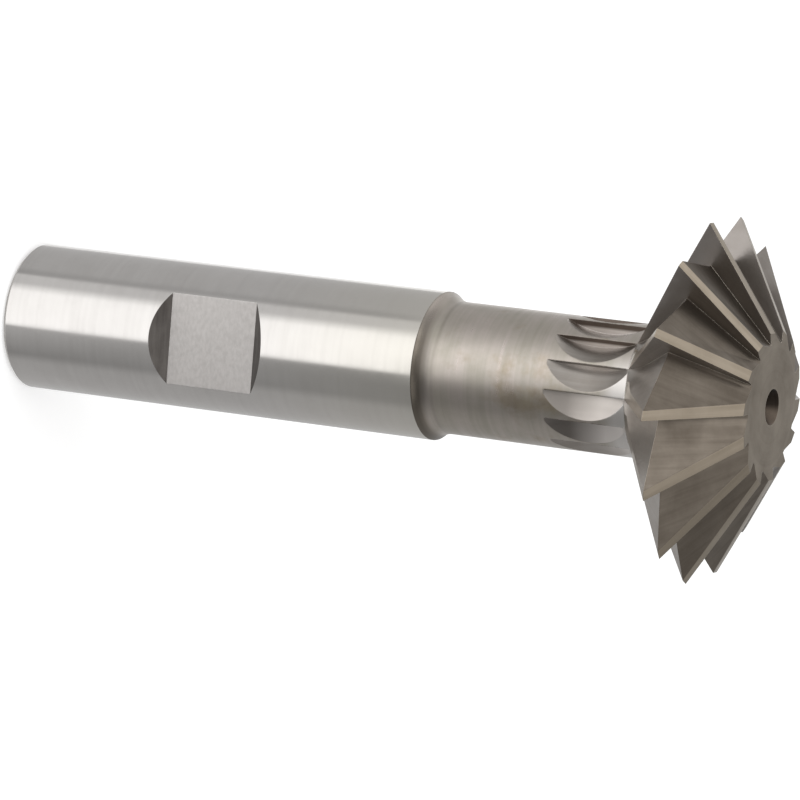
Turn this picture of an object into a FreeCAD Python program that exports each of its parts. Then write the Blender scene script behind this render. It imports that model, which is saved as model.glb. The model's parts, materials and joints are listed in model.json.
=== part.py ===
import FreeCAD, Part
import math
import os

# Double-angle cutter: one ground piece of high-speed steel.
# The axis is +Z. The cutter stands on its shank end at z = 0 and its driving
# flat faces -Y. All sizes are in millimetres and all angles in degrees.

# Shank and driving flat
shank_dia = 15.875
shank_length = 49.5
shank_chamfer = 0.5
flat_centre = 25.0
flat_length = 10.16
flat_depth = 1.70
flat_wall_angle = 45.0

# Neck, and the round corner that the wheel left where the neck starts
neck_dia = 14.1
shoulder_radius = 3.0

# Head: two cones that meet at the apex
overall_length = 87.0
cutting_dia = 38.5
included_angle = 60.0
front_face_dia = 16.0

# Teeth: straight, with radial rake faces that look towards +phi, which gives
# a right-hand cut
tooth_count = 14
tooth_phase = 15.7
land_width = 1.0
relief_angle = 8.0
gullet_depth = 4.55
front_notch_depth = 1.3
gullet_root_flat = 0.4

# The wheel that ground the back gullets, and how far it sank into the neck
wheel_radius = 9.3
scallop_depth = 1.2

# Centre holes that the cutter was ground on
centre_mouth_dia = 3.8
centre_pilot_dia = 2.0
centre_angle = 60.0
centre_pilot_depth = 2.0
drill_point_angle = 118.0

# How far a cutting solid reaches past the metal that it removes
overrun = 2.0

shank_r = shank_dia / 2
neck_r = neck_dia / 2
cutting_r = cutting_dia / 2
front_r = front_face_dia / 2
flank = math.radians(included_angle / 2)
relief = math.radians(relief_angle)
pitch = 2 * math.pi / tooth_count

# Heights of the apex and of the corner between the back cone and the neck
apex_z = overall_length - (cutting_r - front_r) * math.tan(flank)
neck_top_z = apex_z - (cutting_r - neck_r) * math.tan(flank)

# The bottom line of a front gullet runs from the apex plane to the
# front face. The back gullet leans the same way on the other side.
root_apex_r = cutting_r - gullet_depth
root_front_r = front_r - front_notch_depth
floor_angle = math.atan2(overall_length - apex_z, root_apex_r - root_front_r)

z_axis = FreeCAD.Vector(0, 0, 1)
origin = FreeCAD.Vector(0, 0, 0)


def rz(r, z, t=0.0):
    """Point in the rake plane of a tooth at angle zero, moved t along +phi."""
    return FreeCAD.Vector(r, t, z)


def revolved(edges):
    """Solid of revolution about the cutter's axis."""
    face = Part.Face(Part.Wire(edges))
    return face.revolve(origin, z_axis, 360)


def polygon(points):
    return Part.makePolygon(points + [points[0]])


def make_blank():
    """The turned and ground blank, before the flat and the teeth."""
    step = shank_r - neck_r
    run = math.sqrt(shoulder_radius ** 2 - (shoulder_radius - step) ** 2)
    shoulder_end_z = shank_length + run
    arc_centre = rz(neck_r + shoulder_radius, shoulder_end_z)
    half_sweep = math.atan2(run, shoulder_radius - step) / 2
    arc_middle = arc_centre - shoulder_radius * rz(math.cos(half_sweep), math.sin(half_sweep))

    # The shank's wall has three stretches. The flat takes its width out of
    # the middle one only, along the whole of it.
    below = [
        rz(0, 0),
        rz(shank_r - shank_chamfer, 0),
        rz(shank_r, shank_chamfer),
        rz(shank_r, flat_centre - flat_length / 2),
        rz(shank_r, flat_centre + flat_length / 2),
        rz(shank_r, shank_length),
    ]
    above = [
        rz(neck_r, shoulder_end_z),
        rz(neck_r, neck_top_z),
        rz(cutting_r, apex_z),
        rz(front_r, overall_length),
        rz(0, overall_length),
        rz(0, 0),
    ]
    edges = [Part.makeLine(a, b) for a, b in zip(below, below[1:])]
    edges.append(Part.Arc(below[-1], arc_middle, above[0]).toShape())
    edges += [Part.makeLine(a, b) for a, b in zip(above, above[1:])]
    blank = revolved(edges)
    # The seam of the round faces turns to the side that the flat removes.
    blank.rotate(origin, z_axis, -90)
    return blank


def make_flat_cutter():
    """Removes the driving flat together with its two slanted end walls."""
    flat_y = -(shank_r - flat_depth)
    reach = flat_depth + overrun
    slope = reach / math.tan(math.radians(flat_wall_angle))
    half_length = flat_length / 2
    x = -shank_r - overrun
    section = polygon([
        FreeCAD.Vector(x, flat_y, flat_centre - half_length),
        FreeCAD.Vector(x, flat_y, flat_centre + half_length),
        FreeCAD.Vector(x, flat_y - reach, flat_centre + half_length + slope),
        FreeCAD.Vector(x, flat_y - reach, flat_centre - half_length - slope),
    ])
    return Part.Face(section).extrude(FreeCAD.Vector(-2 * x, 0, 0))


def make_centre_hole(face_z, inward):
    """Drilled centre in an end face; inward is +1 or -1 along Z."""
    mouth_r = centre_mouth_dia / 2
    pilot_r = centre_pilot_dia / 2
    cone_depth = (mouth_r - pilot_r) / math.tan(math.radians(centre_angle / 2))
    point_depth = pilot_r / math.tan(math.radians(drill_point_angle / 2))
    pilot_end = cone_depth + centre_pilot_depth
    section = polygon([
        rz(0, face_z),
        rz(mouth_r, face_z),
        rz(pilot_r, face_z + inward * cone_depth),
        rz(pilot_r, face_z + inward * pilot_end),
        rz(0, face_z + inward * (pilot_end + point_depth)),
    ])
    return revolved(section.Edges)


def heel_point():
    """Where a land ends at the apex, seen from the rake plane in front of it."""
    heel_r = cutting_r - land_width * math.tan(relief) / math.sin(flank)
    phi = pitch - math.atan2(land_width, heel_r)
    reach = math.hypot(heel_r, land_width)
    return rz(reach * math.cos(phi), apex_z, reach * math.sin(phi))


def wheel_section(centre, tip_direction, rim_radius):
    """Half section of the gullet wheel: flat side on the rake plane, narrow rim, cone side."""
    root = rz(root_apex_r, apex_z)
    heel = heel_point()
    height = (root - heel).dot(tip_direction)
    cone_slope = height / (heel.y - gullet_root_flat)
    width = heel.y + overrun

    def at(t, n):
        return centre + tip_direction * n + FreeCAD.Vector(0, t, 0)

    return Part.Face(polygon([
        at(0, 0),
        at(0, rim_radius),
        at(gullet_root_flat, rim_radius),
        at(width, rim_radius - (width - gullet_root_flat) * cone_slope),
        at(width, 0),
    ]))


def make_front_gullet():
    """Straight pass of the wheel over the front cone."""
    outward = rz(math.cos(floor_angle), -math.sin(floor_angle))
    tip_direction = rz(-math.sin(floor_angle), -math.cos(floor_angle))
    start = rz(root_front_r, overall_length) - outward * overrun
    length = (cutting_r - root_front_r) / math.cos(floor_angle) + 2 * overrun
    section = wheel_section(start - tip_direction * wheel_radius, tip_direction, wheel_radius)
    return section.extrude(outward * length)


def make_back_gullet():
    """Pass over the back cone that ends with the round wheel sunk in the neck."""
    outward = rz(math.cos(floor_angle), math.sin(floor_angle))
    tip_direction = rz(-math.sin(floor_angle), math.cos(floor_angle))
    centre_r = neck_r - scallop_depth + wheel_radius
    side_step = (centre_r - root_apex_r) * math.sin(floor_angle)
    centre_z = apex_z - (wheel_radius - side_step) / math.cos(floor_angle)
    centre = rz(centre_r, centre_z)
    length = (cutting_r - neck_r) / math.cos(floor_angle) + 2 * overrun
    section = wheel_section(centre, tip_direction, wheel_radius)
    stroke = section.extrude(outward * length)
    wheel = section.revolve(centre, FreeCAD.Vector(0, 1, 0), 360)
    return stroke.fuse(wheel)


def make_relief(side, end_r):
    """Slants a land back from its cutting edge; side is +1 front, -1 back."""
    inward = rz(-math.cos(flank), side * math.sin(flank))
    normal = rz(math.sin(flank), side * math.cos(flank))
    start = rz(cutting_r, apex_z) - inward * overrun
    length = (cutting_r - end_r) / math.cos(flank) + overrun
    width = 2 * land_width

    def at(t, n):
        return start + normal * n + FreeCAD.Vector(0, -t, 0)

    section = polygon([
        at(0, 0),
        at(width, -width * math.tan(relief)),
        at(width, overrun),
        at(0, overrun),
    ])
    return Part.Face(section).extrude(inward * length)


def make_tooth_cutters():
    """Everything that is ground away for one tooth and the gullet before it."""
    return [
        make_front_gullet(),
        make_back_gullet(),
        make_relief(1, root_front_r),
        make_relief(-1, neck_r),
    ]


def make_cutter():
    body = make_blank()
    body = body.cut([
        make_flat_cutter(),
        make_centre_hole(0, 1),
        make_centre_hole(overall_length, -1),
    ])
    for cutter in make_tooth_cutters():
        copies = []
        for index in range(tooth_count):
            copy = cutter.copy()
            copy.rotate(origin, z_axis, tooth_phase + math.degrees(index * pitch))
            copies.append(copy)
        body = body.cut(copies)
    return body.Solids[0]


cutter = make_cutter()
print("volume mm3", round(cutter.Volume, 1), "centre of mass", cutter.CenterOfMass)
print("box", cutter.BoundBox)

os.makedirs("parts", exist_ok=True)
cutter.exportStep("parts/double_angle_cutter.step")
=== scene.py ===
# %% [markdown]
# # A double-angle cutter, ground from one piece of high-speed steel
#
# The real cutter is a steel bar that was turned, hardened and then ground.
# Its head is two cones that meet at a sharp rim, and fourteen straight teeth
# are ground into them. This lesson makes it in the same order: a turned
# blank, then the passes of the grinding wheel, then a finish for each kind of
# surface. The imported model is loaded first, because everything has to fit it.

# %% Load the frame
import json
import math

import bmesh
import bpy
from mathutils import Matrix, Vector

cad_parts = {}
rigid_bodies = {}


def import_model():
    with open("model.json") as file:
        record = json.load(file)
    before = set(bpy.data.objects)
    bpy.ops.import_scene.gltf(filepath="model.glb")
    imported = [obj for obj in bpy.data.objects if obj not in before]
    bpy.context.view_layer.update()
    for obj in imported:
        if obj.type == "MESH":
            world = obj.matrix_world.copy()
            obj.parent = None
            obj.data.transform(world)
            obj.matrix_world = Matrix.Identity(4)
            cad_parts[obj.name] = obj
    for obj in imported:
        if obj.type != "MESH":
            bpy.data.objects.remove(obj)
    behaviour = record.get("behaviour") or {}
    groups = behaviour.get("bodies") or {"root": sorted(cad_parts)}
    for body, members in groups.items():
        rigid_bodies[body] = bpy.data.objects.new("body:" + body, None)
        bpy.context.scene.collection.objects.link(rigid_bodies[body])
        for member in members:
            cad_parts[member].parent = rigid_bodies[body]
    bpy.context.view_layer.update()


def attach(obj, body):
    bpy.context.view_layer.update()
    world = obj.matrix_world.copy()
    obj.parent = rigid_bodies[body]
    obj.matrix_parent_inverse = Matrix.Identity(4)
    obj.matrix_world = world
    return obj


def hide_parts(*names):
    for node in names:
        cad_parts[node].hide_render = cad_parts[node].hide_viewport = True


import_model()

# %% [markdown]
# ## Sizes
#
# The part's own sizes are repeated here in millimetres, so that every later
# cell can name them. The cutter stands on its shank end with its axis on +Z,
# and the driving flat looks towards -Y. A few sizes follow from the others:
# each cone leans half the included angle away from the plane of the rim.

# %% Sizes of the cutter
MM = 0.001

shank_r = 7.9375 * MM
shank_length = 49.5 * MM
shank_chamfer = 0.5 * MM
flat_centre = 25.0 * MM
flat_length = 10.16 * MM
flat_depth = 1.70 * MM
neck_r = 7.05 * MM
shoulder_radius = 3.0 * MM
overall_length = 87.0 * MM
cutting_r = 19.25 * MM
front_r = 8.0 * MM
included_angle = math.radians(60)
flank = included_angle / 2

apex_z = overall_length - (cutting_r - front_r) * math.tan(flank)
neck_top_z = apex_z - (cutting_r - neck_r) * math.tan(flank)
print("rim at", round(apex_z / MM, 2), "mm, head starts at", round(neck_top_z / MM, 2), "mm")

# %% Sizes of the teeth
tooth_count = 14
tooth_phase = math.radians(15.7)
pitch = 2 * math.pi / tooth_count
land_width = 1.0 * MM
relief = math.radians(8)
gullet_depth = 4.55 * MM
front_notch_depth = 1.3 * MM
root_flat = 0.4 * MM
root_apex_r = cutting_r - gullet_depth
root_front_r = front_r - front_notch_depth
wheel_radius = 9.3 * MM
scallop_depth = 1.2 * MM
overrun = 2.0 * MM

floor_angle = math.atan2(overall_length - apex_z, root_apex_r - root_front_r)
print("gullet floors lean", round(math.degrees(floor_angle), 1), "degrees from the rim's plane")

# %% [markdown]
# ## A place for each finish
#
# Every tool leaves its own finish. The shank is ground bright, the flat is
# milled matt, the neck kept the brown tint of hardening, and the wheel left
# dark gullets and pale narrow lands. Blender keeps a material number on each
# face, so the materials are made first, still empty, and each cut brings the
# number of its own finish. Their nodes are filled in further down.

# %% Name the finishes
finish_names = [
    "ground_shank",
    "shank_end",
    "driving_flat",
    "flat_wall",
    "tinted_neck",
    "rake_face",
    "front_gullet",
    "back_gullet",
    "land",
    "front_face",
    "centre_hole",
]
finishes = {name: bpy.data.materials.new(name) for name in finish_names}
finish_index = {name: number for number, name in enumerate(finish_names)}


def mesh_object(name, bm):
    """Closes a mesh build: faces outwards, one slot for each finish."""
    bmesh.ops.recalc_face_normals(bm, faces=bm.faces)
    mesh = bpy.data.meshes.new(name)
    bm.to_mesh(mesh)
    bm.free()
    for finish in finishes.values():
        mesh.materials.append(finish)
    obj = bpy.data.objects.new(name, mesh)
    bpy.context.scene.collection.objects.link(obj)
    print(name, len(mesh.vertices), "vertices", len(mesh.polygons), "faces")
    return obj


# %% [markdown]
# ## The turned blank
#
# A lathe part is a profile turned about an axis. Blender's Spin tool or the
# Screw modifier could turn it, but here each step of the profile also has to
# carry its finish, so a small function lays one ring of points for each
# profile point and fills the band between two rings. A profile point on the
# axis becomes one single vertex, which closes the end without a hole.

# %% Turn a profile about the Z axis
def revolve(profile, bands, segments):
    """Mesh of a profile of (radius, height); bands names each band's finish."""
    bm = bmesh.new()
    rings = []
    for radius, height in profile:
        if radius == 0:
            rings.append([bm.verts.new((0, 0, height))])
            continue
        ring = []
        for step in range(segments):
            angle = 2 * math.pi * step / segments
            ring.append(bm.verts.new((radius * math.cos(angle), radius * math.sin(angle), height)))
        rings.append(ring)
    for low, high, band in zip(rings, rings[1:], bands):
        for step in range(segments):
            after = (step + 1) % segments
            corners = [
                low[step % len(low)],
                low[after % len(low)],
                high[after % len(high)],
                high[step % len(high)],
            ]
            face = bm.faces.new(list(dict.fromkeys(corners)))
            face.material_index = finish_index[band]
    return bm


# %% The blank's profile, from the shank end up
step_height = shank_r - neck_r
shoulder_run = math.sqrt(shoulder_radius ** 2 - (shoulder_radius - step_height) ** 2)
shoulder_sweep = math.asin(shoulder_run / shoulder_radius)
shoulder_steps = 10

mouth_r = 1.9 * MM
pilot_r = 1.0 * MM
pilot_depth = 2.0 * MM
centre_half_angle = math.radians(30)
drill_half_angle = math.radians(59)
cone_depth = (mouth_r - pilot_r) / math.tan(centre_half_angle)
pilot_end = cone_depth + pilot_depth
hole_end = pilot_end + pilot_r / math.tan(drill_half_angle)

profile = [
    (0, hole_end),
    (pilot_r, pilot_end),
    (pilot_r, cone_depth),
    (mouth_r, 0),
    (shank_r - shank_chamfer, 0),
    (shank_r, shank_chamfer),
    (shank_r, shank_length),
]
bands = ["centre_hole"] * 3 + ["shank_end"] * 2 + ["ground_shank"]

for step in range(1, shoulder_steps + 1):
    angle = shoulder_sweep * (1 - step / shoulder_steps)
    radius = neck_r + shoulder_radius * (1 - math.cos(angle))
    height = shank_length + shoulder_run - shoulder_radius * math.sin(angle)
    profile.append((radius, height))
    bands.append("tinted_neck")

profile += [
    (neck_r, neck_top_z),
    (cutting_r, apex_z),
    (front_r, overall_length),
    (mouth_r, overall_length),
    (pilot_r, overall_length - cone_depth),
    (pilot_r, overall_length - pilot_end),
    (0, overall_length - hole_end),
]
bands += ["tinted_neck", "land", "land", "front_face"] + ["centre_hole"] * 3

blank_segments = 256
blank = mesh_object("double_angle_cutter_body", revolve(profile, bands, blank_segments))

# %% [markdown]
# ## What is cut away
#
# A cut is easiest to model as the solid that is removed. A straight pass of a
# tool sweeps its section along a line, which is a prism. Each side of the
# prism leaves its own surface behind, so each side names a finish.

# %% Sweep a section along a line
def prism(name, section, sweep, sides):
    """Solid between a section and its copy moved by sweep; sides name finishes."""
    bm = bmesh.new()
    start = [bm.verts.new(point) for point in section]
    end = [bm.verts.new(point + sweep) for point in section]
    bm.faces.new(start)
    bm.faces.new(end)
    for index, side in enumerate(sides):
        after = (index + 1) % len(section)
        face = bm.faces.new([start[index], start[after], end[after], end[index]])
        face.material_index = finish_index[side]
    return mesh_object(name, bm)


# %% The driving flat with its two slanted end walls
flat_y = -(shank_r - flat_depth)
flat_reach = flat_depth + overrun
flat_side = shank_r + overrun
half_length = flat_length / 2

# The end walls lean 45 degrees, so they run as far along as they rise.
flat_pass = prism(
    "flat_pass",
    [
        Vector((-flat_side, flat_y, flat_centre - half_length)),
        Vector((-flat_side, flat_y, flat_centre + half_length)),
        Vector((-flat_side, flat_y - flat_reach, flat_centre + half_length + flat_reach)),
        Vector((-flat_side, flat_y - flat_reach, flat_centre - half_length - flat_reach)),
    ],
    Vector((2 * flat_side, 0, 0)),
    ["driving_flat", "flat_wall", "driving_flat", "flat_wall"],
)

# %% [markdown]
# ## The gullet wheel
#
# The wheel has one flat side and one cone side. Its flat side grinds the rake
# face, its cone side grinds the long back of the next tooth, and its narrow
# rim leaves the line at the bottom of the gullet. The cone's slope isn't
# chosen: it follows from the width of the land that should be left.
#
# All passes are made for one tooth whose rake face lies in the plane y = 0.
# `in_plane` gives a point of that plane from its radius and height.

# %% The wheel's section
def in_plane(radius, height, aside=0.0):
    return Vector((radius, aside, height))


heel_r = cutting_r - land_width * math.tan(relief) / math.sin(flank)
heel_turn = pitch - math.atan2(land_width, heel_r)
heel_reach = math.hypot(heel_r, land_width)
heel = in_plane(heel_reach * math.cos(heel_turn), apex_z, heel_reach * math.sin(heel_turn))
wheel_width = heel.y + overrun

heel_height = (in_plane(root_apex_r, apex_z) - heel).dot(
    in_plane(-math.sin(floor_angle), math.cos(floor_angle)))
cone_slope = heel_height / (heel.y - root_flat)
cone_edge_r = wheel_radius - (wheel_width - root_flat) * cone_slope

wheel_section = [
    (0, 0),
    (0, wheel_radius),
    (root_flat, wheel_radius),
    (wheel_width, cone_edge_r),
    (wheel_width, 0),
]
front_sides = ["rake_face"] + ["front_gullet"] * 4
back_sides = ["rake_face"] + ["back_gullet"] * 4
print("the cone side leans", round(math.degrees(math.atan(1 / cone_slope)), 1), "degrees")


def wheel_at(centre, towards_rim):
    """The wheel's section in space, with its rim pointing into the steel."""
    return [centre + towards_rim * out + Vector((0, aside, 0)) for aside, out in wheel_section]


# %% The pass over the front cone
front_line = in_plane(math.cos(floor_angle), -math.sin(floor_angle))
front_rim = in_plane(-math.sin(floor_angle), -math.cos(floor_angle))
front_start = in_plane(root_front_r, overall_length) - front_line * overrun
front_sweep = (cutting_r - root_front_r) / math.cos(floor_angle) + 2 * overrun

front_pass = prism(
    "front_pass",
    wheel_at(front_start - front_rim * wheel_radius, front_rim),
    front_line * front_sweep,
    front_sides,
)

# %% [markdown]
# ## The pass over the back cone
#
# Behind the head the wheel can't run on, because the neck is in its way. It
# stops, and its round shape stays behind as a shell-like scallop in the neck.
# The swept solid is therefore a prism plus the whole wheel at the place where
# it stopped. That place follows from two facts: the rim touches the gullet's
# floor line, and it sinks a set depth into the neck.

# %% Where the wheel stops, and both of its solids
back_line = in_plane(math.cos(floor_angle), math.sin(floor_angle))
back_rim = in_plane(-math.sin(floor_angle), math.cos(floor_angle))
stop_r = neck_r - scallop_depth + wheel_radius
side_step = (stop_r - root_apex_r) * math.sin(floor_angle)
stop_z = apex_z - (wheel_radius - side_step) / math.cos(floor_angle)
stop = in_plane(stop_r, stop_z)
back_sweep = (cutting_r - neck_r) / math.cos(floor_angle) + 2 * overrun

back_pass = prism(
    "back_pass",
    wheel_at(stop, back_rim),
    back_line * back_sweep,
    back_sides,
)

wheel_segments = 128
wheel_profile = [(out, aside) for aside, out in wheel_section]
wheel_mesh = revolve(wheel_profile, back_sides[:4], wheel_segments)
wheel_mesh.transform(Matrix.Translation(stop) @ Matrix.Rotation(-math.pi / 2, 4, "X"))
stopped_wheel = mesh_object("stopped_wheel", wheel_mesh)
print("the wheel stops at radius", round(stop_r / MM, 2), "height", round(stop_z / MM, 2), "mm")

# %% [markdown]
# ## Relief behind the cutting edges
#
# A tooth only cuts if its land drops away behind the edge. Two more flat
# passes, one on each cone, tilt the lands back by the relief angle.

# %% The two relief passes
def relief_pass(name, side, end_r):
    """Prism above a land; side is +1 on the front cone and -1 on the back."""
    inward = in_plane(-math.cos(flank), side * math.sin(flank))
    outward = in_plane(math.sin(flank), side * math.cos(flank))
    start = in_plane(cutting_r, apex_z) - inward * overrun
    length = (cutting_r - end_r) / math.cos(flank) + overrun
    width = 2 * land_width
    behind = Vector((0, -width, 0))
    section = [
        start,
        start + behind - outward * width * math.tan(relief),
        start + behind + outward * overrun,
        start + outward * overrun,
    ]
    return prism(name, section, inward * length, ["land"] * 4)


front_relief = relief_pass("front_relief", 1, root_front_r)
back_relief = relief_pass("back_relief", -1, neck_r)

# %% [markdown]
# ## Grind all the teeth with Geometry Nodes
#
# The same five solids are needed fourteen times. Geometry Nodes first unite
# them into one solid for one tooth. They then put one point for each tooth on
# the axis, and on each point an instance of that solid, turned by one pitch
# more than the last. A second Mesh Boolean takes every instance and the
# flat's pass away from the blank in one step. The Manifold solver is used
# because every solid here is closed, and it is faster than the exact one.

# %% Collect the passes of one tooth
passes = bpy.data.collections.new("passes_of_one_tooth")
for obj in (front_pass, back_pass, stopped_wheel, front_relief, back_relief):
    bpy.context.scene.collection.objects.unlink(obj)
    passes.objects.link(obj)
bpy.context.scene.collection.children.link(passes)

# %% Build the node tree
tree = bpy.data.node_groups.new("grind_teeth", "GeometryNodeTree")
tree.interface.new_socket("Blank", in_out="INPUT", socket_type="NodeSocketGeometry")
sockets = {}
for label, kind in (
    ("Tooth Count", "NodeSocketInt"),
    ("First Tooth", "NodeSocketFloat"),
    ("Tooth Passes", "NodeSocketCollection"),
    ("Flat Pass", "NodeSocketObject"),
    ("Face Height", "NodeSocketFloat"),
):
    sockets[label] = tree.interface.new_socket(label, in_out="INPUT", socket_type=kind)
tree.interface.new_socket("Cutter", in_out="OUTPUT", socket_type="NodeSocketGeometry")


def add(kind, x, y, **settings):
    """A node of the tree at a place, with some of its settings."""
    made = tree.nodes.new(kind)
    made.location = (x, y)
    for key, value in settings.items():
        setattr(made, key, value)
    return made


def join(source, output, target, socket):
    tree.links.new(source.outputs[output], target.inputs[socket])


inputs = add("NodeGroupInput", -1100, 0)
output = add("NodeGroupOutput", 900, 0)

# %% One turned instance for each tooth
axis_points = add("GeometryNodePoints", -800, -100)
index = add("GeometryNodeInputIndex", -1100, -420)
turn_step = add("ShaderNodeMath", -900, -320, operation="DIVIDE")
turn_step.inputs[0].default_value = 2 * math.pi
turn = add("ShaderNodeMath", -700, -320, operation="MULTIPLY_ADD")
rotation = add("ShaderNodeCombineXYZ", -500, -320)
one_tooth = add("GeometryNodeCollectionInfo", -800, 120, transform_space="ORIGINAL")
one_tooth.inputs["Separate Children"].default_value = True
united = add("GeometryNodeMeshBoolean", -560, 120, operation="UNION", solver="MANIFOLD")
all_teeth = add("GeometryNodeInstanceOnPoints", -300, -60)

join(inputs, "Tooth Count", axis_points, "Count")
join(inputs, "Tooth Count", turn_step, 1)
join(index, "Index", turn, 0)
join(turn_step, "Value", turn, 1)
join(inputs, "First Tooth", turn, 2)
join(turn, "Value", rotation, "Z")
join(inputs, "Tooth Passes", one_tooth, "Collection")
join(axis_points, "Points", all_teeth, "Points")
join(one_tooth, "Instances", united, "Mesh 2")
join(rotation, "Vector", all_teeth, "Rotation")

# %% [markdown]
# The wheel's grinding lines run along each pass, so a finish has to know how
# a spot lay to the wheel. While the solid is still in the plane of one tooth
# that is easy: fold its height at the rim, turn it by the floor's lean, and
# x runs along the pass, y across it and z out of the gullet's floor. It is
# stored on the solid's face corners, and the cut hands it on to the surfaces
# that it leaves, turned teeth included.

# %% Write each spot's place under the wheel on the solid
spot = add("GeometryNodeInputPosition", -560, 560)
from_rim = add("ShaderNodeVectorMath", -380, 560, operation="SUBTRACT")
from_rim.inputs[1].default_value = (0, 0, apex_z)
folded = add("ShaderNodeVectorMath", -200, 560, operation="ABSOLUTE")
leaned = add("ShaderNodeVectorRotate", -20, 560, rotation_type="Y_AXIS")
leaned.inputs["Angle"].default_value = -floor_angle
marked = add(
    "GeometryNodeStoreNamedAttribute", -400, 300, data_type="FLOAT_VECTOR", domain="CORNER")
marked.inputs["Name"].default_value = "pass_place"

join(spot, "Position", from_rim, 0)
join(from_rim, "Vector", folded, 0)
join(folded, "Vector", leaned, "Vector")
join(leaned, "Vector", marked, "Value")
join(united, "Mesh", marked, "Geometry")
join(marked, "Geometry", all_teeth, "Instance")

# %% Take everything away from the blank, and finish the front face
flat_solid = add("GeometryNodeObjectInfo", -300, 180, transform_space="ORIGINAL")
ground = add("GeometryNodeMeshBoolean", 0, 0, operation="DIFFERENCE", solver="MANIFOLD")
realized = add("GeometryNodeRealizeInstances", 220, 0)
position = add("GeometryNodeInputPosition", 0, -300)
parts = add("ShaderNodeSeparateXYZ", 200, -300)
on_top = add("FunctionNodeCompare", 400, -300, data_type="FLOAT", operation="GREATER_THAN")
front_finish = add("GeometryNodeSetMaterial", 640, 0)
front_finish.inputs["Material"].default_value = finishes["front_face"]

join(inputs, "Flat Pass", flat_solid, "Object")
join(inputs, "Blank", ground, "Mesh 1")
join(all_teeth, "Instances", ground, "Mesh 2")
join(flat_solid, "Geometry", ground, "Mesh 2")
join(ground, "Mesh", realized, "Geometry")
join(position, "Position", parts, "Vector")
join(parts, "Z", on_top, 0)
join(inputs, "Face Height", on_top, 1)
join(realized, "Geometry", front_finish, "Geometry")
join(on_top, "Result", front_finish, "Selection")
join(front_finish, "Geometry", output, "Cutter")
print("the tree has", len(tree.nodes), "nodes")

# %% Run it on the blank and keep the result as a plain mesh
face_slack = 0.001 * MM

modifier = blank.modifiers.new("grind_teeth", "NODES")
modifier.node_group = tree
settings = {
    "Tooth Count": tooth_count,
    "First Tooth": tooth_phase,
    "Tooth Passes": passes,
    "Flat Pass": flat_pass,
    "Face Height": overall_length - face_slack,
}
for label, value in settings.items():
    modifier[sockets[label].identifier] = value

evaluated = blank.evaluated_get(bpy.context.evaluated_depsgraph_get())
ground_mesh = bpy.data.meshes.new_from_object(evaluated)
ground_mesh.name = "ground_cutter"
print("ground:", len(ground_mesh.vertices), "vertices", len(ground_mesh.polygons), "faces")

# %% [markdown]
# ## The finished piece
#
# The result becomes a new object at the origin, and the blank, the passes and
# the tree are deleted, because they were only tools. Edges where two passes
# meet stay sharp, while the fine steps of the round faces are shaded smooth.
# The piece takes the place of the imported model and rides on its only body.

# %% Keep the ground cutter and clear the tools away
sharp_from = math.radians(20)

cutter = bpy.data.objects.new("ground_double_angle_cutter", ground_mesh)
bpy.context.scene.collection.objects.link(cutter)
ground_mesh.shade_smooth()
ground_mesh.set_sharp_from_angle(angle=sharp_from)

for obj in [blank, flat_pass] + list(passes.objects):
    bpy.data.objects.remove(obj, do_unlink=True)
bpy.data.collections.remove(passes)
bpy.data.node_groups.remove(tree)

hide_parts("double_angle_cutter")
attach(cutter, "root")
print("corner notes kept:", "pass_place" in ground_mesh.attributes)

# %% [markdown]
# ## Tools for the finishes
#
# Every finish here is bare steel, so they share their parts: lines left by
# the tool, soft clouds of colour, and edges that handling has polished. The
# next cells make one helper for each part, and the finishes then only differ
# in their numbers.

# %% Nodes with their feeds in one line
def node(tree, kind, feeds=None, **settings):
    """A shader node; feeds gives an input a number, a colour or a socket."""
    made = tree.nodes.new(kind)
    for key, value in settings.items():
        setattr(made, key, value)
    for socket, value in (feeds or {}).items():
        if isinstance(value, bpy.types.NodeSocket):
            tree.links.new(value, made.inputs[socket])
        else:
            made.inputs[socket].default_value = value
    return made


def calc(tree, operation, first, second=0.0):
    return node(tree, "ShaderNodeMath", {0: first, 1: second}, operation=operation).outputs[0]


def blend(tree, amount, first, second):
    """From the first colour to the second as amount goes from 0 to 1."""
    feeds = {0: amount, 6: first, 7: second}
    return node(tree, "ShaderNodeMix", feeds, data_type="RGBA").outputs[2]


def spread(tree, value, low, high, to_low=0.0, to_high=1.0):
    """Stretches low..high to to_low..to_high and cuts off what is beyond."""
    feeds = {0: value, 1: low, 2: high, 3: to_low, 4: to_high}
    return node(tree, "ShaderNodeMapRange", feeds).outputs[0]


# %% [markdown]
# A pattern needs a place to be drawn on. Object coordinates are metres from
# the cutter's own origin and suit the turned parts. The teeth use the place
# under the wheel that the node tree stored. On a face that was turned or
# ground square the marks are rings, so there the distance from the axis
# takes the place of x.

# %% Three kinds of place, and a place taken apart
def object_place(tree):
    return node(tree, "ShaderNodeTexCoord").outputs["Object"]


def wheel_place(tree):
    return node(tree, "ShaderNodeAttribute", attribute_name="pass_place").outputs["Vector"]


def split(tree, place):
    """The x, y and z of a place, each as a number."""
    return node(tree, "ShaderNodeSeparateXYZ", {0: place}).outputs


def ring_place(tree):
    x, y, z = split(tree, object_place(tree))
    sideways = node(tree, "ShaderNodeCombineXYZ", {0: x, 1: y}).outputs[0]
    reach = node(tree, "ShaderNodeVectorMath", {0: sideways}, operation="LENGTH").outputs["Value"]
    return node(tree, "ShaderNodeCombineXYZ", {0: reach, 2: z}).outputs[0]


# %% Tool lines, clouds and polished edges
def tool_lines(tree, place, per_metre, detail=2.0):
    """Noise drawn out into lines, finest where per_metre is largest."""
    stretched = node(tree, "ShaderNodeMapping", {"Vector": place, "Scale": per_metre})
    feeds = {"Vector": stretched.outputs[0], "Scale": 1.0, "Detail": detail, "Roughness": 0.65}
    return node(tree, "ShaderNodeTexNoise", feeds).outputs["Fac"]


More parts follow.
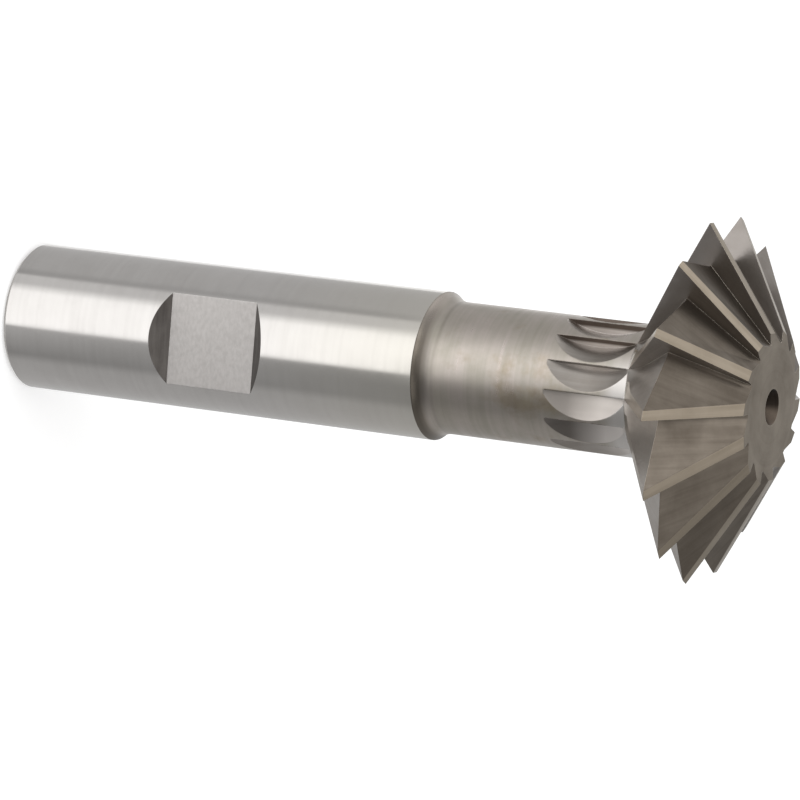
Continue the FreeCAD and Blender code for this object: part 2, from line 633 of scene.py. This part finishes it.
def clouds(tree, per_metre, detail=4.0, shift=0.0):
    """Soft patches; a shift gives other patches of the same size."""
    moved = node(tree, "ShaderNodeMapping", {
        "Vector": object_place(tree), "Location": (shift, 0, 0)})
    feeds = {"Vector": moved.outputs[0], "Scale": per_metre, "Detail": detail, "Roughness": 0.6}
    return node(tree, "ShaderNodeTexNoise", feeds).outputs["Fac"]


def worn_edges(tree, width):
    """A softened normal for the edges, and a broken mask of where they are."""
    rounded = node(tree, "ShaderNodeBevel", {"Radius": width}, samples=6).outputs[0]
    straight = node(tree, "ShaderNodeNewGeometry").outputs["Normal"]
    facing = node(tree, "ShaderNodeVectorMath", {0: rounded, 1: straight}, operation="DOT_PRODUCT")
    edge = spread(tree, facing.outputs["Value"], 0.995, 0.86)
    broken = spread(tree, clouds(tree, 900, 2.0), 0.35, 0.6, 0.35, 1.0)
    return rounded, calc(tree, "MULTIPLY", edge, broken)


# %% [markdown]
# One recipe then lays these parts over each other. The lines and the clouds
# shift the colour and the roughness a little, worn edges turn paler and
# smoother, and the lines also bend the surface through a Bump node. Bump
# heights are real: a few thousandths of a millimetre at most. Some finishes
# need another colour in places, and `repaint` lays it over the recipe's.

# %% The recipe for a steel surface
# Nearly all of the noise lies between these two values.
noise_low, noise_high = 0.36, 0.64
fine_edge = 0.07 * MM


def steel(name, place, per_metre, dark, pale, rough, depth, edge_colour,
          share=0.5, edge_width=fine_edge):
    """Fills a finish. Lines and clouds lead from dark to pale by the lines' share."""
    material = finishes[name]
    material.use_nodes = True
    tree = material.node_tree
    tree.nodes.clear()
    lines = tool_lines(tree, place(tree), per_metre)
    patches = clouds(tree, 240)
    rounded, edge = worn_edges(tree, edge_width)

    from_lines = calc(tree, "MULTIPLY", lines, share)
    from_clouds = calc(tree, "MULTIPLY", patches, 1 - share)
    mixed = calc(tree, "ADD", from_lines, from_clouds)
    tone = spread(tree, mixed, noise_low, noise_high)
    colour = blend(tree, edge, blend(tree, tone, (*dark, 1), (*pale, 1)), (*edge_colour, 1))
    rougher = spread(tree, mixed, noise_low, noise_high, rough[1], rough[0])
    roughness = calc(tree, "MULTIPLY", rougher, spread(tree, edge, 0, 1, 1, 0.75))
    bumped = node(tree, "ShaderNodeBump", {"Height": lines, "Distance": depth, "Normal": rounded})

    feeds = {
        "Base Color": colour,
        "Metallic": 1.0,
        "Roughness": roughness,
        "Normal": bumped.outputs[0],
    }
    metal = node(tree, "ShaderNodeBsdfPrincipled", feeds)
    node(tree, "ShaderNodeOutputMaterial", {"Surface": metal.outputs[0]})
    print(name, "has", len(tree.nodes), "nodes")
    return tree, metal, colour


def repaint(tree, metal, amount, under, over):
    """Lays a colour over the recipe's where amount says so."""
    tree.links.new(blend(tree, amount, under, over), metal.inputs["Base Color"])
    print("a second colour laid over the last one, now", len(tree.nodes), "nodes")


# %% [markdown]
# ## The bright shank and its matt flat
#
# The shank is ground between centres, so its lines run round it and it reflects almost like a
# mirror. Towards the neck it took on a little of the hardening's warm tint. The flat is milled
# across, and its fine grain and its higher roughness spread the light evenly. The dark colour of
# its end walls is painted shade.

# %% The shank, warmer towards the neck
shank_tree, shank_metal, shank_colour = steel(
    "ground_shank", object_place, (40, 40, 1500),
    dark=(0.535, 0.517, 0.500), pale=(0.575, 0.558, 0.541),
    rough=(0.13, 0.18), depth=0.0002 * MM, edge_colour=(0.66, 0.65, 0.63), share=0.4)

warm_from = 30 * MM
warm_steel = (0.585, 0.560, 0.505, 1)

_, _, height = split(shank_tree, object_place(shank_tree))
warmed = spread(shank_tree, height, warm_from, shank_length, 0.0, 0.7)
repaint(shank_tree, shank_metal, warmed, shank_colour, warm_steel)

# %% The shank's end, the flat and the flat's walls
steel(
    "shank_end", ring_place, (2600, 1, 60),
    dark=(0.42, 0.40, 0.38), pale=(0.50, 0.48, 0.46),
    rough=(0.26, 0.36), depth=0.001 * MM, edge_colour=(0.62, 0.60, 0.58))
steel(
    "driving_flat", object_place, (1500, 1300, 2600),
    dark=(0.432, 0.412, 0.398), pale=(0.468, 0.447, 0.433),
    rough=(0.46, 0.52), depth=0.002 * MM, edge_colour=(0.52, 0.51, 0.50), share=0.85)
# The walls' dark colour is painted shade, not a finish of their own.
steel(
    "flat_wall", object_place, (260, 1800, 1800),
    dark=(0.078, 0.070, 0.065), pale=(0.115, 0.105, 0.097),
    rough=(0.36, 0.48), depth=0.003 * MM, edge_colour=(0.42, 0.40, 0.38))

# %% [markdown]
# ## The neck and its shoulder
#
# The neck was turned and then hardened, so it is darker than the shank and
# kept a warm tint in patches. Clouds say where the patches are, and one place
# raises the chance of them, which makes the one large patch on the side of
# the flat. A second size of clouds leads from brown to straw. The neck's
# edges, also those round the scallops, have a dark rim.

# %% The neck and its tinted patches
neck_tree, neck_metal, neck_colour = steel(
    "tinted_neck", object_place, (70, 70, 1500),
    dark=(0.375, 0.348, 0.300), pale=(0.470, 0.422, 0.388),
    rough=(0.27, 0.35), depth=0.0008 * MM, edge_colour=(0.13, 0.105, 0.09), share=0.45,
    edge_width=0.25 * MM)

# Widths count twice here, so the patch comes out longer than it is wide.
widths_twice = (2, 2, 1)
patch_place = (4.6 * MM, -13.4 * MM, 61.8 * MM)
squeezed = node(neck_tree, "ShaderNodeMapping", {
    "Vector": object_place(neck_tree), "Scale": widths_twice}).outputs[0]
from_patch = node(
    neck_tree, "ShaderNodeVectorMath", {0: squeezed, 1: patch_place},
    operation="DISTANCE").outputs["Value"]
near_patch = spread(neck_tree, from_patch, 1.0 * MM, 5.2 * MM, 0.20, -0.07)
where = calc(neck_tree, "ADD", clouds(neck_tree, 190, 5.0, 3.7), near_patch)
patchy = calc(neck_tree, "MULTIPLY", spread(neck_tree, where, 0.50, 0.65), 0.6)
brown = (0.255, 0.205, 0.138, 1)
straw = (0.350, 0.288, 0.202, 1)
lighter = spread(neck_tree, clouds(neck_tree, 420, 3.0, 8.1), 0.4, 0.6)
tinted = blend(neck_tree, patchy, neck_colour, blend(neck_tree, lighter, brown, straw))

# %% [markdown]
# The two ends of the neck differ. At the teeth one side of the neck is painted paler, as a painted
# highlight. The corner up to the shank is painted dark, as painted shade, darkest at its edge and
# thinner on one side. Both are a stretch of height times a stretch across the cutter. A faint line
# shows how far the round corner reaches.

# %% A painted highlight at the head
highlight_steel = (0.60, 0.575, 0.55, 1)

across, _, height = split(neck_tree, object_place(neck_tree))
# A paler colour on one side near the head: a painted highlight.
at_head = spread(neck_tree, height, 70.6 * MM, 72.3 * MM)
painted_highlight = calc(
    neck_tree, "MULTIPLY", at_head, spread(neck_tree, across, -4.4 * MM, -1.4 * MM))
tinted = blend(neck_tree, painted_highlight, tinted, highlight_steel)
print("the neck has", len(neck_tree.nodes), "nodes so far")

# %% Painted shade in the corner, and the line where it ends
shade_at_edge = (0.122, 0.107, 0.089, 1)
shade_inside = (0.215, 0.190, 0.162, 1)
corner_line = (0.115, 0.102, 0.085, 1)
corner_line_z = 51.5 * MM

# A darker colour in the corner up to the shank: painted shade.
in_corner = spread(neck_tree, height, 50.85 * MM, 50.2 * MM)
corner_shade = calc(
    neck_tree, "MULTIPLY", in_corner, spread(neck_tree, across, -6.5 * MM, -3.0 * MM, 0.5, 1.0))
off_edge = spread(neck_tree, height, 49.85 * MM, 50.4 * MM)
corner_shade_colour = blend(neck_tree, off_edge, shade_at_edge, shade_inside)
tinted = blend(neck_tree, corner_shade, tinted, corner_shade_colour)

off_line = calc(neck_tree, "ABSOLUTE", calc(neck_tree, "SUBTRACT", height, corner_line_z))
line = spread(neck_tree, off_line, 0.32 * MM, 0.05 * MM, 0.0, 0.2)
repaint(neck_tree, neck_metal, line, tinted, corner_line)

# %% [markdown]
# ## The teeth
#
# All tooth surfaces come from the wheel, so they use the place under the wheel. On the rake face
# the fine direction points out of the gullet, on the gullet's back and on the land it points
# across the pass. The front gullets are the darkest: their dark colour is painted shade.

# %% Rake faces, gullets and lands
rake_tree, rake_metal, rake_colour = steel(
    "rake_face", wheel_place, (60, 60, 1500),
    dark=(0.235, 0.212, 0.192), pale=(0.300, 0.275, 0.256),
    rough=(0.28, 0.38), depth=0.001 * MM, edge_colour=(0.42, 0.38, 0.33), share=0.4)
# The front gullets' dark colour is painted shade.
steel(
    "front_gullet", wheel_place, (60, 1500, 60),
    dark=(0.098, 0.082, 0.066), pale=(0.140, 0.120, 0.099),
    rough=(0.34, 0.44), depth=0.001 * MM, edge_colour=(0.36, 0.32, 0.27), share=0.4)
back_tree, back_metal, back_colour = steel(
    "back_gullet", wheel_place, (60, 1800, 60),
    dark=(0.335, 0.305, 0.275), pale=(0.415, 0.385, 0.355),
    rough=(0.30, 0.40), depth=0.0006 * MM, edge_colour=(0.42, 0.38, 0.33), share=0.4)
land_tree, land_metal, land_colour = steel(
    "land", wheel_place, (60, 2600, 60),
    dark=(0.255, 0.215, 0.165), pale=(0.335, 0.285, 0.225),
    rough=(0.28, 0.38), depth=0.0008 * MM, edge_colour=(0.46, 0.41, 0.34))

# %% [markdown]
# ## The scallops
#
# The end of each back pass lies in the neck. The wheel's flat side left an upright wall there. Its
# colour follows the distance from the axis: a painted highlight low down, and dark along the
# neck's surface. The wheel's cone side left the hollow. Next to the flat's side two hollows get
# painted shade at the far end and a painted highlight towards the head. The second of them goes
# further both ways.

# %% A painted highlight on the walls, dark along the neck's surface
dark_rim_colour = (0.13, 0.105, 0.09, 1)
highlight_wall = (0.70, 0.66, 0.64, 1)

reach, _, height = split(rake_tree, ring_place(rake_tree))
in_scallop = spread(rake_tree, height, neck_top_z, neck_top_z - 0.4 * MM)
below_rim = spread(rake_tree, reach, neck_r - 0.45 * MM, neck_r - 0.75 * MM)
# Low on the wall the colour is a painted highlight.
wall_colour = blend(rake_tree, below_rim, dark_rim_colour, highlight_wall)
repaint(rake_tree, rake_metal, in_scallop, rake_colour, wall_colour)

# %% Painted shade and highlight in two hollows
first_far_end, second_far_end = (0.320, 0.292, 0.268, 1), (0.255, 0.230, 0.210, 1)
first_near_head, second_near_head = (0.430, 0.398, 0.370, 1), (0.640, 0.600, 0.570, 1)

across, towards_back, height = split(back_tree, object_place(back_tree))
flat_side_only = calc(
    back_tree, "MULTIPLY", spread(back_tree, across, 0.2 * MM, 0.5 * MM),
    spread(back_tree, towards_back, -1.0 * MM, -4.0 * MM))
in_hollow = spread(back_tree, height, neck_top_z + 0.3 * MM, neck_top_z - 0.5 * MM)
# Painted shade at the far end and a painted highlight towards the head.
shaded_hollows = calc(back_tree, "MULTIPLY", flat_side_only, in_hollow)

in_second = spread(back_tree, across, 3.1 * MM, 3.5 * MM)
far_end = blend(back_tree, in_second, first_far_end, second_far_end)
near_head = blend(back_tree, in_second, first_near_head, second_near_head)
along = spread(back_tree, height, 66.8 * MM, 70.8 * MM)
hollow_shade_and_highlight = blend(back_tree, along, far_end, near_head)
repaint(back_tree, back_metal, shaded_hollows, back_colour, hollow_shade_and_highlight)

# %% [markdown]
# ## Painted shade on the lands that face away
#
# The lands that face away from one side of the cutter get painted shade, which leaves the rest
# brighter. Which way a land faces is told from its direction round the axis: its place is
# flattened, brought to a length of one, and compared with the lit side's direction by a dot
# product.

# %% Paint shade on the lands that face away from the lit side
lit_side = math.radians(-110)
shaded_land = (0.150, 0.128, 0.098, 1)

flattened = node(
    land_tree, "ShaderNodeVectorMath", {0: object_place(land_tree), 1: (1, 1, 0)},
    operation="MULTIPLY").outputs[0]
direction = node(
    land_tree, "ShaderNodeVectorMath", {0: flattened}, operation="NORMALIZE").outputs[0]
facing = node(
    land_tree, "ShaderNodeVectorMath",
    {0: direction, 1: (math.cos(lit_side), math.sin(lit_side), 0)},
    operation="DOT_PRODUCT").outputs["Value"]
# A darker colour on the lands that face away: painted shade.
painted_land_shade = spread(land_tree, facing, 0.85, 0.60, 0.0, 0.5)
repaint(land_tree, land_metal, painted_land_shade, land_colour, shaded_land)

# %% [markdown]
# ## The front face and the centre holes
#
# The front face is turned before the teeth are ground, so its marks are rings. A centre hole is
# drilled and stays rough, and its near-black colour is painted shade. One side of its cone gets a
# painted highlight.

# %% Front face and centre holes
steel(
    "front_face", ring_place, (1300, 1, 60),
    dark=(0.110, 0.089, 0.065), pale=(0.150, 0.124, 0.091),
    rough=(0.38, 0.48), depth=0.001 * MM, edge_colour=(0.30, 0.26, 0.21), share=0.3)
# The hole's near-black colour is painted shade.
hole_tree, hole_metal, hole_colour = steel(
    "centre_hole", ring_place, (1500, 1, 1500),
    dark=(0.012, 0.009, 0.007), pale=(0.036, 0.029, 0.023),
    rough=(0.40, 0.55), depth=0.003 * MM, edge_colour=(0.2, 0.18, 0.15))

# %% A painted highlight on one side of both cones
hole_highlight_colour = (0.125, 0.100, 0.080, 1)

across, _, height = split(hole_tree, object_place(hole_tree))
middle_z = overall_length / 2
cone_starts = middle_z - cone_depth
off_middle = calc(hole_tree, "ABSOLUTE", calc(hole_tree, "SUBTRACT", height, middle_z))
in_cone = spread(hole_tree, off_middle, cone_starts - 0.2 * MM, cone_starts)
# A paler colour on one side of each cone: a painted highlight.
lit_side_of_hole = spread(hole_tree, across, -0.1 * MM, 1.1 * MM, 0.1, 1.0)
hole_highlight = calc(hole_tree, "MULTIPLY", in_cone, lit_side_of_hole)
repaint(hole_tree, hole_metal, hole_highlight, hole_colour, hole_highlight_colour)

# %% [markdown]
# ## The floor and the room
#
# The cutter stands on a plain pale floor. It should read as white, but the
# cutter's soft shadow has to stay on it. The floor is therefore a pale
# diffuse surface with a little glow that only the camera, reflections and
# glass can see, so it adds no light to the object. The world does the same.

# %% A white floor that keeps the shadow
def seen_directly(tree):
    """1 for camera, glossy and transmission rays, else 0."""
    rays = node(tree, "ShaderNodeLightPath").outputs
    shiny = calc(tree, "MAXIMUM", rays["Is Glossy Ray"], rays["Is Transmission Ray"])
    return calc(tree, "MAXIMUM", rays["Is Camera Ray"], shiny)


floor_half = 3.0
floor_signs = [(-1, -1), (1, -1), (1, 1), (-1, 1)]
floor_corners = [(x * floor_half, y * floor_half, 0) for x, y in floor_signs]
floor_mesh = bpy.data.meshes.new("floor")
floor_mesh.from_pydata(floor_corners, [], [(0, 1, 2, 3)])
floor = bpy.data.objects.new("floor", floor_mesh)
bpy.context.scene.collection.objects.link(floor)

pale_floor = bpy.data.materials.new("pale_floor")
pale_floor.use_nodes = True
floor_tree = pale_floor.node_tree
floor_tree.nodes.clear()
surface = node(floor_tree, "ShaderNodeBsdfDiffuse", {"Color": (0.80, 0.80, 0.80, 1)})
floor_glow = calc(floor_tree, "MULTIPLY", seen_directly(floor_tree), 0.42)
shine = node(floor_tree, "ShaderNodeEmission", {"Strength": floor_glow})
both = node(floor_tree, "ShaderNodeAddShader", {0: surface.outputs[0], 1: shine.outputs[0]})
node(floor_tree, "ShaderNodeOutputMaterial", {"Surface": both.outputs[0]})
floor_mesh.materials.append(pale_floor)
print("floor", 2 * floor_half, "metres wide")

# %% A pale room all round
world = bpy.data.worlds.new("pale_room")
world.use_nodes = True
bpy.context.scene.world = world
world_tree = world.node_tree
world_tree.nodes.clear()
room_glow = spread(world_tree, seen_directly(world_tree), 0, 1, 0.70, 1.0)
room = node(world_tree, "ShaderNodeBackground", {"Color": (1, 1, 1, 1), "Strength": room_glow})
node(world_tree, "ShaderNodeOutputWorld", {"Surface": room.outputs[0]})
print("the room has", len(world_tree.nodes), "nodes")

# %% [markdown]
# ## Paper for the steel to reflect
#
# Bright steel has no look of its own: it shows what stands round it. On an
# upright shank every reflection points down to the table in front of it, so
# the photographer's way to shape it is paper on the table, printed with a
# soft run from white to grey. Each line of that print leaves the shank along
# the mirrored view, which keeps the bands straight from the foot to the neck.
# The neck reflects what lies further out, so a second sheet serves the neck
# and the teeth. Only reflections see the paper.

# %% Paper whose glow runs from line to line
camera_place = Vector((-49.79, -458.78, 259.62)) * MM
camera_turn = math.atan2(camera_place.y, camera_place.x)
print("the camera looks from", round(math.degrees(camera_turn), 1), "degrees round the axis")


def paper(name, verts, quads, glow):
    """A sheet that only reflections see, with its glow stored at each vertex."""
    mesh = bpy.data.meshes.new(name)
    mesh.from_pydata(verts, [], quads)
    mesh.attributes.new("glow", "FLOAT", "POINT").data.foreach_set("value", glow)
    obj = bpy.data.objects.new(name, mesh)
    bpy.context.scene.collection.objects.link(obj)
    for rays in ("camera", "diffuse", "shadow", "transmission"):
        setattr(obj, "visible_" + rays, False)
    material = bpy.data.materials.new(name)
    material.use_nodes = True
    tree = material.node_tree
    tree.nodes.clear()
    stored = node(tree, "ShaderNodeAttribute", attribute_name="glow")
    shine = node(tree, "ShaderNodeEmission", {"Strength": stored.outputs["Fac"]})
    node(tree, "ShaderNodeOutputMaterial", {"Surface": shine.outputs[0]})
    mesh.materials.append(material)
    print(name, len(quads), "faces, glow from", min(glow), "to", max(glow))


# %% [markdown]
# A sheet's print is written as a run: an angle round the shank, then the glow
# there, and a second glow where the far end of the line differs. There is a
# line for every degree, because wider steps would leave the two sheets' edges
# a little apart, and the white floor would flash through the gap.

# %% One line of print for every degree
paper_height = 0.05 * MM


def between(run, degrees, column):
    """The run's value at an angle, on a straight line between its entries."""
    for left, right in zip(run, run[1:]):
        if degrees <= right[0]:
            share = (degrees - left[0]) / (right[0] - left[0])
            return left[column] + share * (right[column] - left[column])


def strip(count):
    """Quads of a strip whose points come in pairs, near and far."""
    return [(2 * k, 2 * k + 1, 2 * k + 3, 2 * k + 2) for k in range(count - 1)]


def fan(name, run, start, end):
    """Paper on the table, from one distance along the mirrored view to another."""
    verts, glow = [], []
    angles = range(run[0][0], run[-1][0] + 1)
    for degrees in angles:
        turn = math.radians(degrees)
        leaves, mirrored = camera_turn + turn, camera_turn + 2 * turn
        foot = Vector((math.cos(leaves), math.sin(leaves), 0)) * shank_r
        ray = Vector((math.cos(mirrored), math.sin(mirrored), 0))
        for reach, column in ((start, 1), (end, -1)):
            verts.append(foot + ray * reach + Vector((0, 0, paper_height)))
            glow.append(between(run, degrees, column))
    paper(name, verts, strip(len(angles)), glow)


# %% One sheet for the shank, one for the neck and the teeth
sheets_meet = 111 * MM
sheets_end = 880 * MM

shank_run = [
    (-76, 0.65), (-70, 0.60), (-40, 0.60), (-36, 0.50), (-34, 0.50), (-32, 0.85),
    (-25, 0.84), (-18, 1.65), (-10, 1.70), (7, 1.70), (9, 1.5), (11, 0.60, 0.36),
    (20, 0.50, 0.33), (33, 0.36), (40, 0.52, 0.48), (70, 0.58, 0.56), (88, 0.58, 0.56),
]
neck_run = [
    (-76, 0.75), (-70, 0.65), (-42, 0.65), (-28, 0.95), (-14, 1.65), (-5, 1.65), (5, 1.05),
    (14, 0.52), (20, 0.32), (34, 0.28), (44, 0.45), (70, 0.50), (88, 0.65),
]
fan("shank_paper", shank_run, 0.0, sheets_meet)
fan("neck_paper", neck_run, sheets_meet, sheets_end)

# %% [markdown]
# The teeth and the scallops look up and to the sides. A curtain stands round
# the cutter there. It is pale in front and dark a little to the right, so
# that one flank of each tooth goes dark and its edges can be read. To the
# left its top is bright, because the gullets there look up at it. The side
# behind the cutter stays open. The curtain's run gives an angle from the
# camera's side, the glow at the floor, and a second glow where the top
# differs. Only reflections see the curtain.

# %% A curtain in front and at both sides
curtain_r = 0.9
curtain_height = 1.4
curtain_run = [
    (-150, 1.30), (-130, 1.00, 1.20), (-105, 0.72, 2.20), (-80, 0.62, 1.10), (-50, 0.90),
    (-20, 0.95), (5, 0.75), (25, 0.16), (60, 0.18), (100, 0.62), (150, 0.68), (165, 0.58),
]
curtain_verts, curtain_glow = [], []
for degrees, *brightness in curtain_run:
    side = camera_turn + math.radians(degrees)
    x, y = curtain_r * math.cos(side), curtain_r * math.sin(side)
    curtain_verts += [(x, y, 0.0), (x, y, curtain_height)]
    curtain_glow += [brightness[0], brightness[-1]]
paper("curtain", curtain_verts, strip(len(curtain_run)), curtain_glow)

# %% [markdown]
# ## Soft lamps and the camera
#
# Two large soft lamps stand in for the studio's light boxes, both high up,
# which keeps the shadow short. The camera uses a long lens from about half a
# metre and is rolled on its side, because in the picture the cutter lies
# across the frame.

# %% Two light boxes
half_way_up = Vector((0, 0, overall_length / 2))


def light_box(name, place, size, watts):
    """A square lamp that looks at the cutter's middle."""
    data = bpy.data.lights.new(name, "AREA")
    data.size = size
    data.energy = watts
    obj = bpy.data.objects.new(name, data)
    obj.location = place
    obj.rotation_euler = (half_way_up - Vector(place)).to_track_quat("-Z", "Y").to_euler()
    bpy.context.scene.collection.objects.link(obj)
    print(name, watts, "watts")


light_box("left_box", (-0.45, -0.38, 1.05), 0.7, 3)
light_box("right_box", (0.5, -0.5, 0.9), 0.6, 1)

# %% The camera
view_point = Vector((4.19, 0, 44.84)) * MM
focal_length = 214.99
camera_roll = math.radians(97.36)

camera = bpy.data.objects.new("camera", bpy.data.cameras.new("camera"))
camera.data.lens = focal_length
camera.data.clip_start = 0.05
camera.location = camera_place
roll = Matrix.Rotation(camera_roll, 4, "Z")
aim = (view_point - camera_place).to_track_quat("-Z", "Y").to_matrix().to_4x4()
camera.rotation_euler = (aim @ roll).to_euler()
bpy.context.scene.collection.objects.link(camera)
bpy.context.scene.camera = camera
bpy.context.scene.view_settings.view_transform = "Standard"
print("camera", round((view_point - camera_place).length, 3), "metres away")
